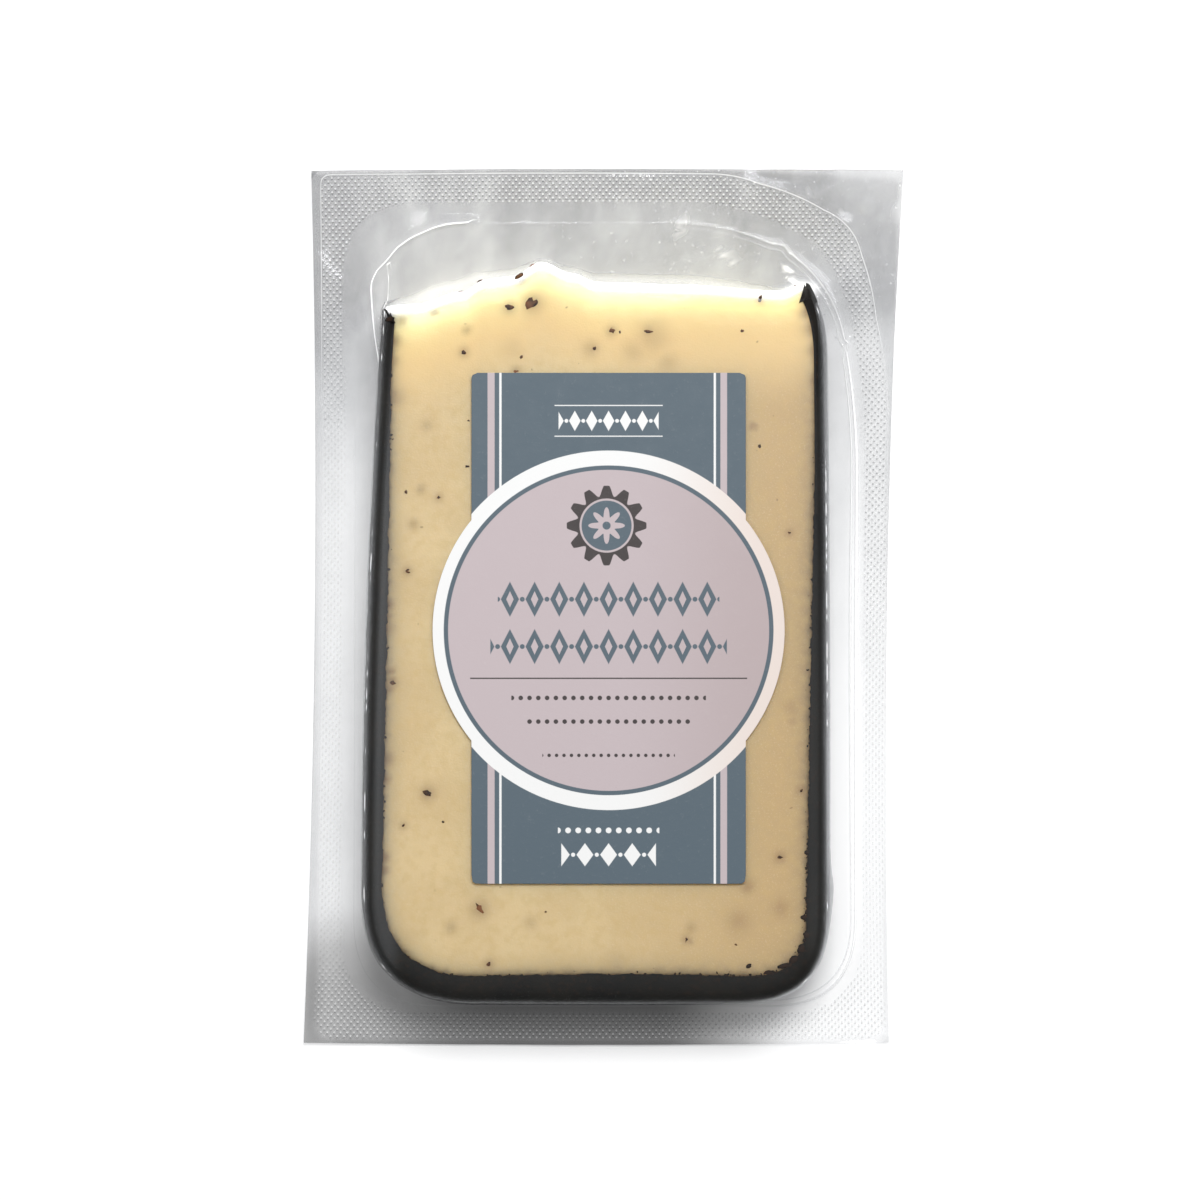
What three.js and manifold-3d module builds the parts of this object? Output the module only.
// A slab of truffle cheddar in a clear vacuum pack.
//
// The slab was cut from a larger waxed block: its front and back are cut faces, dark wax covers its left,
// bottom and right sides, and its upper end is broken off unevenly. A flat back film and a formed front film
// are drawn tight round it and welded together in a band near the sheet's edge. At the upper right the weld
// cuts the corner, which leaves a loose tab to peel. A die-cut paper label, a panel with a disc across it, is
// stuck on the front film.
//
// Millimetres. +Z points out of the front of the pack, +Y to the broken end, and the origin is the centre of
// the flat back that the pack lies on.

import * as THREE from "three";
import { mergeVertices } from "three/addons/utils/BufferGeometryUtils.js";
import Module from "manifold-3d";

const wasm = await Module();
wasm.setup();

// Driving dimensions
const SHEET_WIDTH = 91.8;
const SHEET_LENGTH = 133.8;
const SLAB_THICKNESS = 19.6;
const SLAB_TOP_REACH = 48; // the broken end's usual distance from the origin
const FILM = 0.3; // thickness of each film
const GAP = 0.3; // clearance that keeps neighbouring pieces apart
const LABEL_THICKNESS = 0.3;

// Heights in the stack of back film, slab, front film and label
const SLAB_BASE = FILM + GAP;
const SLAB_FACE = SLAB_BASE + SLAB_THICKNESS;
const FLANGE_BASE = FILM + GAP;
const LABEL_BASE = SLAB_FACE + GAP + FILM + GAP;

const HALF_WIDTH = SHEET_WIDTH / 2;
const HALF_LENGTH = SHEET_LENGTH / 2;

// Each outline is a list of corners, [x, y, setback, bow]: the corner is rounded off over the setback, and
// the side that follows it bows outwards by the bow. The sheet lies a little askew, and the vacuum has drawn
// its long sides in.
const SHEET_EDGE = [
  [-HALF_WIDTH + 1.3, HALF_LENGTH - 0.5, 0.6, 0.5],
  [HALF_WIDTH, HALF_LENGTH - 0.6, 0.6, -1.3],
  [HALF_WIDTH - 2.1, -HALF_LENGTH + 0.4, 0.6, 0.4],
  [-HALF_WIDTH, -HALF_LENGTH + 0.4, 0.6, -1.1],
];

// The weld band runs a few millimetres in from the edge and cuts across the peel corner.
const WELD_OUTER = [
  [-42.9, 65.5, 1.5, 0.2],
  [20, 65.7, 4, 0.4],
  [38, 58.2, 5, 0.3],
  [43.2, 36, 8, 0],
  [42.5, -65.8, 2.5, 0],
  [-43.6, -65.8, 2.5, -0.4],
];
const WELD_INNER = [
  [-39.6, 61.4, 12, 0],
  [18, 61.4, 6, 0.3],
  [34.8, 54.8, 8, 0.4],
  [39.7, 33, 8, 0],
  [39.2, -61.7, 12, 0],
  [-39.8, -61.7, 12, 0],
];

// The rim of the pocket that the front film was formed with is still a crease in it.
const POCKET_RIM = [
  [-37.9, 58.4, 15, 0],
  [20, 58.6, 10, 0.5],
  [35, 50.5, 10, 0.6],
  [38.7, 30, 10, 0],
  [38.4, -60.9, 13, 0],
  [-38.1, -60.9, 13, 0],
];

// The wax's side where it is widest, at half the slab's thickness. Its upper end passes the break.
const WAX_SIDE = [
  [-31.6, 62, 5, 0],
  [33, 53, 16, 0],
  [33.4, -59, 14, 0.1],
  [-36.5, -59, 18, 0.9],
];
// The edge of the cheese on the cut faces, inside the wax
const CHEESE_FACE = [
  [-29.9, 60, 4, 0],
  [30.8, 52, 15, 0],
  [29.9, -54.8, 8, -0.3],
  [-33.1, -54.8, 14, 0],
];
const SIDE_BULGE = 1; // how far the sides swell between the two cut faces
const WAX_EDGE_RADIUS = 1.2;

// The line that the broken end keeps as seen from the front
const BREAK_LINE = [
  [-50, 42],
  [-28, 44.9],
  [-21, 46.8],
  [-17.5, 48.6],
  [-13.5, 49.1],
  [-9.2, 51.2],
  [-4.6, 49.5],
  [-1, SLAB_TOP_REACH + 0.2],
  [12, SLAB_TOP_REACH - 0.2],
  [26.5, SLAB_TOP_REACH - 1.1],
  [30.5, SLAB_TOP_REACH + 0.4],
  [50, SLAB_TOP_REACH + 0.6],
];
const BREAK_EDGE_RADIUS = 3.6; // the broken end's edges are worn round
const CRAG_HEIGHT = 0.55;
const CRAG_SIZE = 2.2;
const CRAG_STEPS = [0, 0.5, 1.6, 3.4]; // depths of its rows of crags below each face
const MIDDLE_SHARES = [0.25, 0.5, 0.75]; // shares of the thickness where every side has a row too
const WAX_END_SETBACK = 0.9; // the wax stops short of the broken cheese
// Where the broken end meets the sides
const SLAB_CORNERS = [
  [-32.9, 44.3],
  [-31.8, 41.6],
  [32.6, 48.6],
  [30, 47],
  [28.6, 47.4],
];

// The label
const LABEL_X = 0.75;
const LABEL_TOP = 34.6;
const LABEL_BOTTOM = -41;
const PANEL_WIDTH = 40.8;
const PANEL_CORNER = 0.8;
const DISC_Y = -3.5;
const DISC_RADIUS = 26.2;

const WALL_FLARE = 0.2; // how far the formed film leaves the slab's sides towards its foot

// How far the loose flange curls up
const EDGE_CURL = 0.5;
const CORNER_CURLS = [
  { x: HALF_WIDTH, y: HALF_LENGTH, height: 3.2, size: 17 },
  { x: -HALF_WIDTH, y: HALF_LENGTH, height: 1.2, size: 12 },
  { x: HALF_WIDTH, y: -HALF_LENGTH, height: 1.6, size: 14 },
  { x: -HALF_WIDTH, y: -HALF_LENGTH, height: 0.9, size: 12 },
];

// Rays leave this point inside every outline
const CENTRE = new THREE.Vector2(0, -5);

// Points at equal steps along an outline
function outlinePoints(corners, count) {
  const at = corners.map(([x, y]) => new THREE.Vector2(x, y));
  const path = new THREE.Path();
  const sides = at.map((corner, i) => {
    const next = at[(i + 1) % at.length];
    const along = next.clone().sub(corner).normalize();
    const outwards = new THREE.Vector2(-along.y, along.x);
    const start = corner.clone().addScaledVector(along, corners[i][2]);
    const end = next.clone().addScaledVector(along, -corners[(i + 1) % at.length][2]);
    const middle = start.clone().lerp(end, 0.5).addScaledVector(outwards, 2 * corners[i][3]);
    return { start, middle, end, next };
  });
  path.moveTo(sides[0].start.x, sides[0].start.y);
  sides.forEach(({ middle, end, next }, i) => {
    const after = sides[(i + 1) % sides.length].start;
    path.quadraticCurveTo(middle.x, middle.y, end.x, end.y);
    path.quadraticCurveTo(next.x, next.y, after.x, after.y);
  });
  return path.getSpacedPoints(count).slice(0, count);
}

// The outline moved outwards by a distance, along its normals
function grown(points, distance) {
  return points.map((point, i) => {
    const before = points[(i + points.length - 1) % points.length];
    const after = points[(i + 1) % points.length];
    const along = after.clone().sub(before).normalize();
    return new THREE.Vector2(point.x - along.y * distance, point.y + along.x * distance);
  });
}

// Distance from the centre to a closed outline in one direction
function reach(points, direction) {
  for (let i = 0; i < points.length; i++) {
    const a = points[i].clone().sub(CENTRE);
    const b = points[(i + 1) % points.length].clone().sub(CENTRE);
    const crossA = direction.cross(a);
    const crossB = direction.cross(b);
    if (crossA * crossB > 0 || crossA === crossB) continue;
    const hit = a.lerp(b, crossA / (crossA - crossB));
    if (hit.dot(direction) > 0) return hit.length();
  }
  throw new Error("an outline doesn't go round the centre");
}

function at(direction, distance, z) {
  return new THREE.Vector3(CENTRE.x + direction.x * distance, CENTRE.y + direction.y * distance, z);
}

// A repeatable stand-in for chance, from 0 to 1
function chance(a, b) {
  const wave = Math.sin(a * 127.1 + b * 311.7) * 43758.5453;
  return wave - Math.floor(wave);
}

function smoothly(share) {
  return share * share * (3 - 2 * share);
}

// How far a rounded edge has fallen back, at a depth below the face that it rounds off
function roundedOff(depth, radius) {
  const inside = THREE.MathUtils.clamp(radius - depth, 0, radius);
  return radius - Math.sqrt(radius * radius - inside * inside);
}

function breakLine(x) {
  const next = BREAK_LINE.findIndex(([edge]) => x < edge);
  const [[x0, y0], [x1, y1]] = [BREAK_LINE[next - 1], BREAK_LINE[next]];
  return y0 + (y1 - y0) * smoothly((x - x0) / (x1 - x0));
}

// Where the broken end lies at a place across the slab and at a height, before its crags
function breakAt(x, z) {
  const depth = Math.min(SLAB_FACE - z, z - SLAB_BASE);
  return breakLine(x) - roundedOff(Math.max(depth, 0), BREAK_EDGE_RADIUS);
}

function sideBulge(z) {
  const share = (z - SLAB_BASE) / SLAB_THICKNESS;
  return SIDE_BULGE * 4 * share * (1 - share);
}

// Offset of the wax's side from WAX_SIDE at a height
function waxOffset(z) {
  const depth = Math.min(SLAB_FACE - z, z - SLAB_BASE);
  return sideBulge(z) - SIDE_BULGE - roundedOff(depth, WAX_EDGE_RADIUS);
}

// Triangles between rings of equally many points, numbered ring by ring from a base
function bands(base, rings, count) {
  const faces = [];
  for (let r = 0; r + 1 < rings; r++) {
    for (let i = 0; i < count; i++) {
      const j = (i + 1) % count;
      const [near, far] = [base + r * count, base + (r + 1) * count];
      faces.push([near + i, near + j, far + j], [near + i, far + j, far + i]);
    }
  }
  return faces;
}

// Triangles from a ring to its middle point
function fan(base, count, middle) {
  return Array.from({ length: count }, (_, i) => [base + i, base + ((i + 1) % count), middle]);
}

function turnedOver(faces) {
  return faces.map(([a, b, c]) => [a, c, b]);
}

function middleOf(ring) {
  return ring.reduce((sum, p) => sum.add(p), new THREE.Vector3()).divideScalar(ring.length);
}

function closedGeometry(points, faces) {
  const geometry = new THREE.BufferGeometry().setFromPoints(points);
  geometry.setIndex(faces.flat());
  return geometry;
}

// A closed geometry through rings, with a fan over each end
function loft(rings) {
  const count = rings[0].length;
  const size = rings.length * count;
  const points = [...rings.flat(), middleOf(rings[0]), middleOf(rings[rings.length - 1])];
  const start = turnedOver(fan(0, count, size));
  const end = fan(size - count, count, size + 1);
  return closedGeometry(points, [...bands(0, rings.length, count), ...start, ...end]);
}

// A sheet between an outer and an inner skin, each given by rings from its middle outwards
function sheet(outer, inner) {
  const count = outer[0].length;
  const size = outer.length * count;
  const points = [...outer.flat(), ...inner.flat(), middleOf(outer[0]), middleOf(inner[0])];
  const upper = [...bands(0, outer.length, count), ...turnedOver(fan(0, count, 2 * size))];
  const lower = [...bands(size, inner.length, count), ...turnedOver(fan(size, count, 2 * size + 1))];
  const rim = Array.from({ length: count }, (_, i) => {
    const j = (i + 1) % count;
    const [top, bottom] = [size - count, 2 * size - count];
    return [
      [top + i, top + j, bottom + j],
      [top + i, bottom + j, bottom + i],
    ];
  });
  return closedGeometry(points, [...upper, ...turnedOver(lower), ...rim.flat()]);
}

// A geometry as a solid for cutting, turned right side out if need be
function solidOf(geometry) {
  const bare = new THREE.BufferGeometry();
  bare.setAttribute("position", geometry.getAttribute("position"));
  bare.setIndex(geometry.getIndex());
  const merged = mergeVertices(bare, 1e-4);
  const vertProperties = new Float32Array(merged.getAttribute("position").array);
  const triVerts = new Uint32Array(merged.getIndex().array);
  const solid = new wasm.Manifold(new wasm.Mesh({ numProp: 3, vertProperties, triVerts }));
  if (solid.volume() > 0) return solid;
  const turned = new Uint32Array(triVerts).reverse();
  return new wasm.Manifold(new wasm.Mesh({ numProp: 3, vertProperties, triVerts: turned }));
}

function geometryOf(solid) {
  const { numProp, vertProperties, triVerts } = solid.getMesh();
  const positions = new Float32Array((vertProperties.length / numProp) * 3);
  for (let i = 0; i * numProp < vertProperties.length; i++) {
    positions.set(vertProperties.subarray(i * numProp, i * numProp + 3), i * 3);
  }
  const geometry = new THREE.BufferGeometry();
  geometry.setAttribute("position", new THREE.BufferAttribute(positions, 3));
  geometry.setIndex(new THREE.BufferAttribute(new Uint32Array(triVerts), 1));
  geometry.computeVertexNormals();
  return geometry;
}

// Heights from one cut face to the other, given the steps near each face
function slabHeights(edgeSteps) {
  const middle = MIDDLE_SHARES.map((share) => SLAB_BASE + SLAB_THICKNESS * share);
  const low = edgeSteps.map((step) => SLAB_BASE + step);
  const high = edgeSteps.map((step) => SLAB_FACE - step).reverse();
  return [...low, ...middle, ...high];
}

function slabBody(corners, count, heights, offset) {
  const outline = outlinePoints(corners, count);
  const rings = heights.map((z) =>
    grown(outline, offset(z)).map((p) => new THREE.Vector3(p.x, p.y, z)),
  );
  return solidOf(loft(rings));
}

// Everything past the broken end, less a setback
function pastTheBreak(setback, cragHeight) {
  const farSide = HALF_LENGTH;
  const halfSpan = 41;
  const columns = Math.round((2 * halfSpan) / CRAG_SIZE);
  const floor = SLAB_BASE - 1;
  const ceiling = SLAB_FACE + 1;
  const rows = [floor, ...slabHeights(CRAG_STEPS), ceiling];
  const rings = [];
  for (let column = 0; column <= columns; column++) {
    const x = -halfSpan + (2 * halfSpan * column) / columns;
    const ring = rows.map((z, row) => {
      const crag = (chance(column, row) - 0.5) * 2 * cragHeight;
      return new THREE.Vector3(x, breakAt(x, z) - setback + crag, z);
    });
    ring.push(new THREE.Vector3(x, farSide, ceiling), new THREE.Vector3(x, farSide, floor));
    rings.push(ring);
  }
  return solidOf(loft(rings));
}

function cheeseSolid() {
  const heights = slabHeights([0, 2]);
  const block = slabBody(CHEESE_FACE, 76, heights, sideBulge);
  return block.subtract(pastTheBreak(0, CRAG_HEIGHT));
}

function waxSolid() {
  const block = slabBody(WAX_SIDE, 76, slabHeights(CRAG_STEPS.slice(0, 3)), waxOffset);
  const faces = [SLAB_BASE - 1, ...slabHeights([0, 2]), SLAB_FACE + 1];
  const inside = slabBody(CHEESE_FACE, 76, faces, (z) => GAP + Math.max(sideBulge(z), 0));
  return block.subtract(inside).subtract(pastTheBreak(WAX_END_SETBACK, 0));
}

// Directions for the films' rings: even steps round the wax, the bends of the broken end, and every corner
function filmDirections() {
  const point = ([x, y]) => new THREE.Vector2(x, y);
  const round = outlinePoints(WAX_SIDE, 92).filter((p) => p.y < 45);
  const broken = BREAK_LINE.slice(1, -1).map(point);
  const between = broken.slice(1).map((p, i) => p.clone().lerp(broken[i], 0.5));
  const corners = [...SHEET_EDGE, ...WELD_OUTER, ...SLAB_CORNERS].map(point);
  const angleOf = (p) => p.clone().sub(CENTRE).angle();
  const fixed = corners.map(angleOf);
  const free = [...round, ...broken, ...between].map(angleOf);
  const clear = free.filter((angle) => fixed.every((other) => Math.abs(angle - other) > 0.02));
  const angles = [...fixed, ...clear].sort((a, b) => b - a);
  return angles.map((angle) => new THREE.Vector2(Math.cos(angle), Math.sin(angle)));
}
const DIRECTIONS = filmDirections();

function reaches(corners) {
  const points = outlinePoints(corners, 240);
  return DIRECTIONS.map((direction) => reach(points, direction));
}

// Distance from the centre to the slab's surface at a height, in each direction
function slabReaches(z) {
  const wax = grown(outlinePoints(WAX_SIDE, 240), waxOffset(z));
  const cheese = grown(outlinePoints(CHEESE_FACE, 240), sideBulge(z));
  return DIRECTIONS.map((direction) => {
    const sideways = Math.max(reach(wax, direction), reach(cheese, direction));
    if (direction.y <= 0) return sideways;
    let [near, far] = [0, sideways];
    for (let step = 0; step < 24; step++) {
      const middle = (near + far) / 2;
      const point = at(direction, middle, z);
      if (point.y < breakAt(point.x, z) + CRAG_HEIGHT) near = middle;
      else far = middle;
    }
    return near;
  });
}

// How far the flange has lifted at a point, for a share of the way from the pocket's rim to the sheet's edge
function flangeLift(point, share) {
  const curls = CORNER_CURLS.map(({ x, y, height, size }) => {
    const distance = Math.hypot(point.x - x, point.y - y);
    return height * Math.exp(-((distance / size) ** 2));
  });
  return (EDGE_CURL + curls.reduce((sum, curl) => sum + curl, 0)) * share * share;
}

// The flange's rings from the pocket's rim outwards
const FLANGE = (() => {
  const spread = 0.35; // least distance between two rings
  const foot = slabReaches(SLAB_BASE + SLAB_THICKNESS / 2).map((distance) => distance + GAP + FILM);
  const lines = [POCKET_RIM, WELD_INNER, WELD_OUTER, SHEET_EDGE].map(reaches);
  for (let line = 0; line < lines.length; line++) {
    const inner = line === 0 ? foot : lines[line - 1];
    lines[line] = lines[line].map((distance, i) => Math.max(distance, inner[i] + spread));
  }
  const shares = [0, 0.3, 0.85, 1];
  return lines.map((distances, line) => (lift) =>
    DIRECTIONS.map((direction, i) => {
      const point = at(direction, distances[i], lift);
      point.z += flangeLift(point, shares[line]);
      return point;
    }),
  );
})();

function backFilmSolid() {
  const top = FLANGE.map((ring) => ring(FILM));
  const bottom = FLANGE.map((ring) => ring(0));
  return solidOf(sheet(top, bottom));
}

// One skin of the front film, from the middle of its face outwards, at a distance off the slab
function frontFilmRings(off) {
  const widest = slabReaches(SLAB_BASE + SLAB_THICKNESS / 2);
  const middle = new THREE.Vector3(CENTRE.x, CENTRE.y, 0);
  const rim = FLANGE[0](0).map((point) => point.distanceTo(middle));
  const face = slabReaches(SLAB_FACE);
  const flat = face.map((distance, i) => at(DIRECTIONS[i], distance * 0.8, SLAB_FACE + off));
  const lip = face.map((distance, i) => at(DIRECTIONS[i], distance, SLAB_FACE + off));
  const heights = slabHeights(CRAG_STEPS).slice(2, -1).reverse();
  const wall = heights.map((z) => {
    const fall = ((SLAB_FACE - z) / SLAB_THICKNESS) ** 5;
    return slabReaches(z).map((distance, i) => {
      // Past the broken end the film leaves the slab early and slopes down to the flange.
      const towardsBreak = THREE.MathUtils.smoothstep(DIRECTIONS[i].y, 0.62, 0.86);
      const room = rim[i] - widest[i] - GAP - FILM;
      const stretch = (WALL_FLARE + towardsBreak * Math.max(room - 1, 0) * 0.45) * fall;
      return at(DIRECTIONS[i], distance + off + stretch, z);
    });
  });
  return [flat, lip, ...wall, ...FLANGE.map((ring) => ring(FLANGE_BASE + off - GAP))];
}

function frontFilmSolid() {
  return solidOf(sheet(frontFilmRings(GAP + FILM), frontFilmRings(GAP)));
}

function labelGeometry() {
  const halfWidth = PANEL_WIDTH / 2;
  const crossing = Math.asin(Math.sqrt(DISC_RADIUS ** 2 - halfWidth ** 2) / DISC_RADIUS);
  const corner = PANEL_CORNER;
  const shape = new THREE.Shape();
  shape.moveTo(-halfWidth, LABEL_TOP - corner);
  shape.absarc(0, DISC_Y, DISC_RADIUS, Math.PI - crossing, Math.PI + crossing, false);
  shape.lineTo(-halfWidth, LABEL_BOTTOM + corner);
  shape.absarc(-halfWidth + corner, LABEL_BOTTOM + corner, corner, Math.PI, 1.5 * Math.PI, false);
  shape.absarc(halfWidth - corner, LABEL_BOTTOM + corner, corner, -0.5 * Math.PI, 0, false);
  shape.absarc(0, DISC_Y, DISC_RADIUS, -crossing, crossing, false);
  shape.lineTo(halfWidth, LABEL_TOP - corner);
  shape.absarc(halfWidth - corner, LABEL_TOP - corner, corner, 0, 0.5 * Math.PI, false);
  shape.absarc(-halfWidth + corner, LABEL_TOP - corner, corner, 0.5 * Math.PI, Math.PI, false);
  return new THREE.ExtrudeGeometry(shape, {
    depth: LABEL_THICKNESS,
    bevelEnabled: false,
    curveSegments: 14,
  });
}

function piece(name, geometry, look) {
  const mesh = new THREE.Mesh(geometry, new THREE.MeshStandardMaterial(look));
  mesh.name = name;
  return mesh;
}

const clearFilm = { color: 0xd9dde0, roughness: 0.12, metalness: 0, transparent: true, opacity: 0.3 };
const pack = new THREE.Group();
pack.add(piece("back_film", geometryOf(backFilmSolid()), clearFilm));
pack.add(piece("cheese", geometryOf(cheeseSolid()), { color: 0xe6cf9a, roughness: 0.55, metalness: 0 }));
pack.add(piece("wax_coat", geometryOf(waxSolid()), { color: 0x26211f, roughness: 0.35, metalness: 0 }));
pack.add(piece("front_film", geometryOf(frontFilmSolid()), clearFilm));

const label = piece("label", labelGeometry(), { color: 0x5d7280, roughness: 0.6, metalness: 0 });
label.position.set(LABEL_X, 0, LABEL_BASE);
pack.add(label);

// The sheet's rounded corners leave its middle a little off the origin.
const middle = new THREE.Box3().setFromObject(pack).getCenter(new THREE.Vector3());
pack.children.forEach((child) => child.position.sub(new THREE.Vector3(middle.x, middle.y, 0)));

export default pack;
